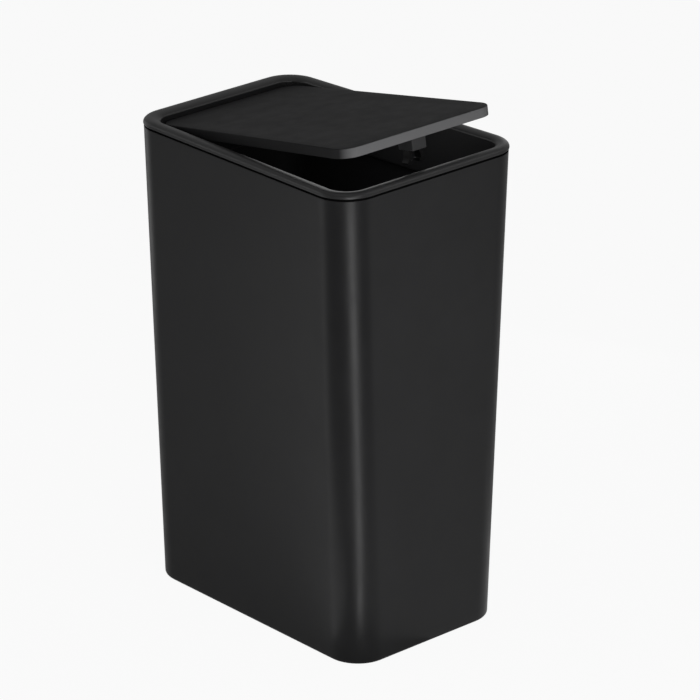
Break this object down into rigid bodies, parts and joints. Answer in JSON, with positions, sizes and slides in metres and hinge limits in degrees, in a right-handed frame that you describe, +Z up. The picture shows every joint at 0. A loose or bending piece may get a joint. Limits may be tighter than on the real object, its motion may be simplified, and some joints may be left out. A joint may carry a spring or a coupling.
{
  "type": "bathroom bin",
  "caption": "Tall tapered bin with rounded corners, a rim frame and a flat sprung lid that a push latch under its front edge holds shut.",
  "frame": {"origin": "middle of the footprint, on the floor", "axes": "+Z up, +X across the width, latch end towards -Y, hinge near +Y"},
  "size_m": [0.1552, 0.2068, 0.3451],
  "materials": {
    "body_plastic": "fine matte",
    "rim_plastic": "satin",
    "lid_plastic": "fine matte",
    "latch_plastic": "smooth",
    "bright_steel": "drawn"
  },
  "bodies": {
    "bin": {"bin_body": "body_plastic"},
    "rim": {"rim_frame": "rim_plastic", "striker": "latch_plastic", "striker_screws": "bright_steel", "hinge_pin": "bright_steel", "pin_rings": "bright_steel"},
    "lid": {"lid_panel": "lid_plastic", "lid_liner": "lid_plastic", "lid_screws": "bright_steel", "latch_screws": "bright_steel", "latch_housing": "latch_plastic", "latch_follower": "bright_steel", "latch_spring": "bright_steel", "lid_spring_left": "bright_steel", "lid_spring_right": "bright_steel"},
    "slider": {"latch_slider": "latch_plastic", "jaw_pins": "bright_steel"},
    "jaw_left": {"jaw_left": "latch_plastic"},
    "jaw_right": {"jaw_right": "latch_plastic"}
  },
  "joints": [
    {"name": "rim_lift", "type": "slide", "parent": "bin", "child": "rim", "axis": [0, 0, 1], "range_m": [0, 0.04]},
    {"name": "lid_swing", "type": "hinge", "parent": "rim", "child": "lid", "pos_m": [0, 0.067, 0.309], "axis": [-1, 0, 0], "range_deg": [-9.4, 70], "stiffness_Nm_per_rad": 0.05, "springref_deg": 77.92, "deforming": ["lid_spring_left", "lid_spring_right"]},
    {"name": "latch_slide", "type": "slide", "parent": "lid", "child": "slider", "axis": [0, 0.1633, 0.9866], "range_m": [0, 0.0034], "stiffness_N_per_m": 40, "springref_m": -0.002, "deforming": ["latch_spring"]},
    {"name": "jaw_left_turn", "type": "hinge", "parent": "slider", "child": "jaw_left", "pos_m": [-0.0022, -0.08225, 0.33077], "axis": [0, 0.9866, -0.1633], "range_deg": [-10, 0]},
    {"name": "jaw_right_turn", "type": "hinge", "parent": "slider", "child": "jaw_right", "pos_m": [0.0022, -0.08225, 0.33077], "axis": [0, 0.9866, -0.1633], "range_deg": [0, 10]}
  ],
  "couplings": [
    {"joint": "jaw_left_turn", "follows": "latch_slide", "rad_per_m": -51.282},
    {"joint": "jaw_right_turn", "follows": "latch_slide", "rad_per_m": 51.282}
  ]
}
